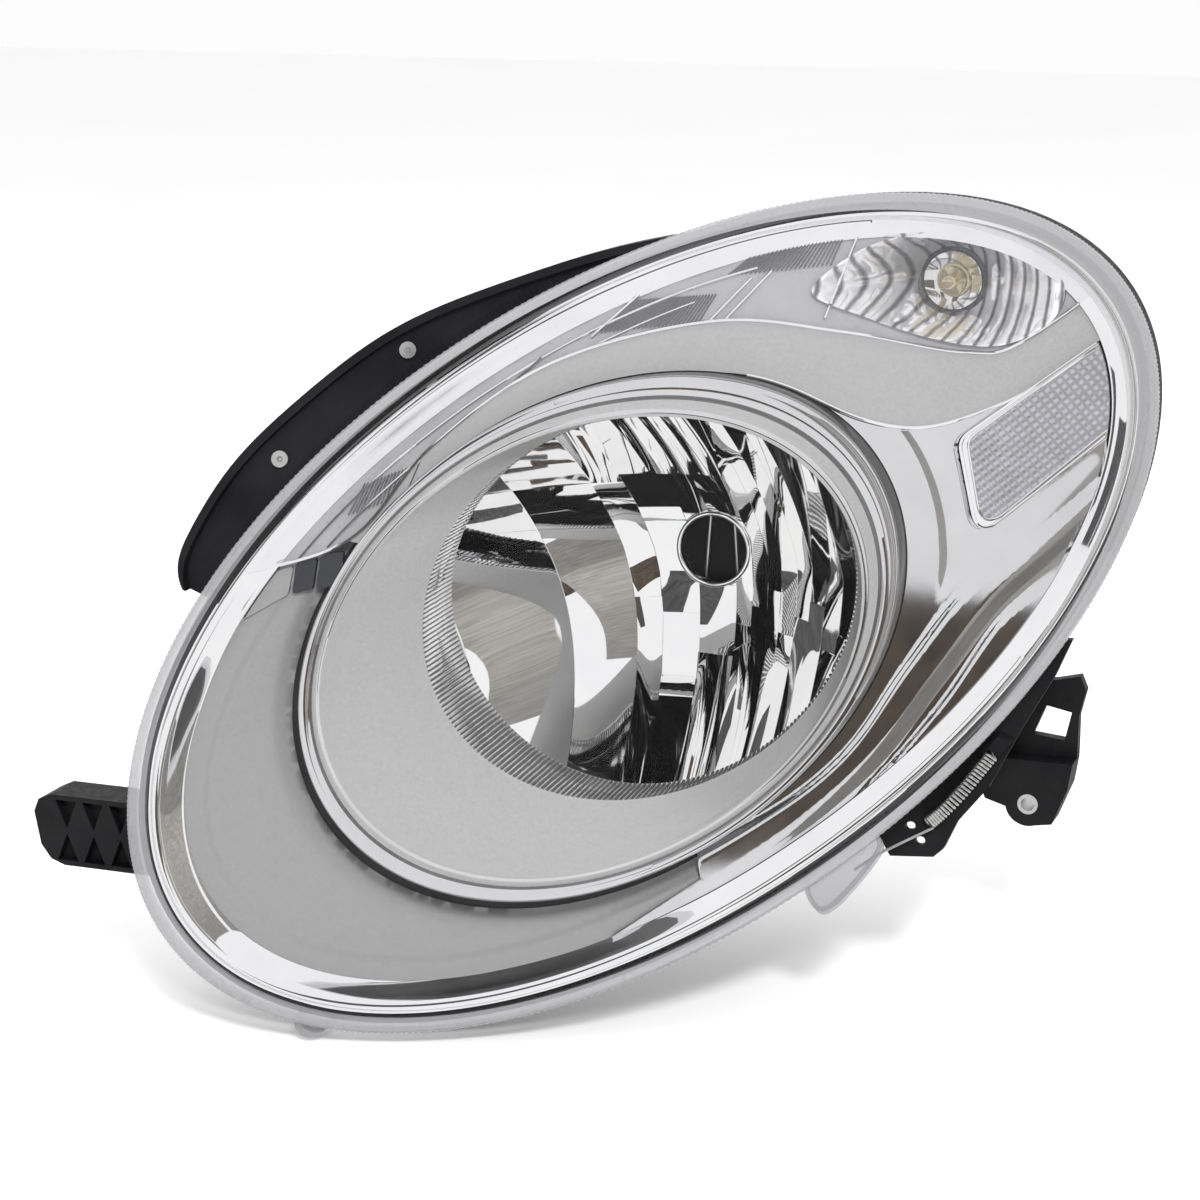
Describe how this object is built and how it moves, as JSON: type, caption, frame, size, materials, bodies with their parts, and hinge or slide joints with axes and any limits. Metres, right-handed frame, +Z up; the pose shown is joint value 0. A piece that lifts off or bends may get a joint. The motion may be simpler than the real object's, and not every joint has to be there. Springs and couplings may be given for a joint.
{
  "type": "car headlight",
  "caption": "Oval clear-lens car headlight with a round main reflector, an upper turn signal, a side reflex reflector, aiming gear and a rear rubber boot.",
  "frame": {"origin": "centre of the main bulb seat, where the optical axis meets the apex of the main reflector", "axes": "-Y is the way the light shines, +Y is backwards along the optical axis, +X is outboard on the car, +Z is up"},
  "size_m": [0.4816, 0.3059, 0.3717],
  "materials": {
    "housing_plastic": "black glass-filled plastic, fine moulded grain",
    "clear_lens": "clear hard-coated polycarbonate",
    "clear_strip": "clear prismatic plastic",
    "sealant": "butyl bead",
    "bright_metal": "vacuum-metallised plastic",
    "matte_silver": "satin silver paint",
    "reflector_metal": "aluminised bowl",
    "reflex_plastic": "clear prism grid",
    "bulb_glass": "clear glass globe",
    "bulb_metal": "plated brass cap",
    "steel": "zinc-plated steel",
    "white_plastic": "natural acetal",
    "grey_plastic": "grey nylon",
    "boot_rubber": "black rubber"
  },
  "bodies": {
    "housing": {"rear_housing": "housing_plastic", "front_lens": "clear_lens", "lens_sealant": "sealant", "outer_trim": "bright_metal", "lower_bezel": "matte_silver", "upper_bezel": "matte_silver", "side_bezel": "bright_metal", "bezel_ring": "matte_silver", "fluted_ring": "bright_metal", "reflex_reflector": "reflex_plastic", "turn_signal_reflector": "bright_metal", "turn_signal_inner_lens": "clear_strip", "pivot_ball_stud": "steel", "vertical_adjuster_bushing": "grey_plastic", "horizontal_adjuster_bushing": "grey_plastic", "breather_cap": "boot_rubber", "upper_shroud": "housing_plastic", "inner_mounting_arm": "housing_plastic", "outer_mounting_bracket": "housing_plastic", "mounting_sleeves": "steel", "shroud_screws": "steel", "arm_screws": "steel", "bracket_screws": "steel", "lens_retaining_spring": "steel"},
    "pivot": {"pivot_socket": "white_plastic"},
    "reflector": {"main_reflector": "reflector_metal", "bulb_seat_ring": "steel", "seat_rivets": "steel", "adjuster_ball_sockets": "white_plastic"},
    "bulb_clip": {"bulb_retaining_clip": "steel"},
    "vertical_rod": {"vertical_adjuster_rod": "grey_plastic"},
    "vertical_knob": {"vertical_adjuster_knob": "white_plastic"},
    "horizontal_rod": {"horizontal_adjuster_rod": "grey_plastic"},
    "horizontal_knob": {"horizontal_adjuster_knob": "white_plastic"},
    "boot": {"dust_boot": "boot_rubber"},
    "turn_signal_socket": {"turn_signal_bulb_holder": "grey_plastic", "holder_seal_ring": "boot_rubber", "turn_signal_bulb_base": "bulb_metal", "turn_signal_bulb_glass": "bulb_glass"}
  },
  "joints": [
    {"name": "reflector_yaw", "type": "hinge", "parent": "housing", "child": "pivot", "pos_m": [0.06, -0.02, 0.056], "axis": [0, 0, 1], "range_deg": [-2.5, 2.5]},
    {"name": "reflector_pitch", "type": "hinge", "parent": "pivot", "child": "reflector", "pos_m": [0.06, -0.02, 0.056], "axis": [1, 0, 0], "range_deg": [-2.5, 2.5]},
    {"name": "vertical_rod_slide", "type": "slide", "parent": "housing", "child": "vertical_rod", "axis": [0, 1, 0], "range_m": [-0.0055, 0.0055]},
    {"name": "vertical_knob_spin", "type": "hinge", "parent": "housing", "child": "vertical_knob", "pos_m": [0.06, 0.02, -0.056], "axis": [0, 1, 0], "range_deg": [-920, 920]},
    {"name": "horizontal_rod_slide", "type": "slide", "parent": "housing", "child": "horizontal_rod", "axis": [0, 1, 0], "range_m": [-0.0055, 0.0055]},
    {"name": "horizontal_knob_spin", "type": "hinge", "parent": "housing", "child": "horizontal_knob", "pos_m": [-0.06, 0.02, 0.056], "axis": [0, 1, 0], "range_deg": [-982, 982]},
    {"name": "bulb_clip_swing", "type": "hinge", "parent": "reflector", "child": "bulb_clip", "pos_m": [0, 0.0106, -0.029], "axis": [-1, 0, 0], "range_deg": [0, 95]},
    {"name": "dust_boot_pull", "type": "slide", "parent": "housing", "child": "boot", "axis": [0, 1, 0], "range_m": [0, 0.2]},
    {"name": "bulb_socket_twist", "type": "hinge", "parent": "housing", "child": "turn_signal_socket", "pos_m": [0.1075, 0.05, 0.1317], "axis": [0, 1, 0], "range_deg": [0, 45]}
  ],
  "couplings": [
    {"joint": "vertical_rod_slide", "follows": "reflector_pitch", "m_per_rad": 0.112},
    {"joint": "vertical_knob_spin", "follows": "reflector_pitch", "ratio": -351.86},
    {"joint": "horizontal_rod_slide", "follows": "reflector_yaw", "m_per_rad": -0.12},
    {"joint": "horizontal_knob_spin", "follows": "reflector_yaw", "ratio": 376.99}
  ]
}
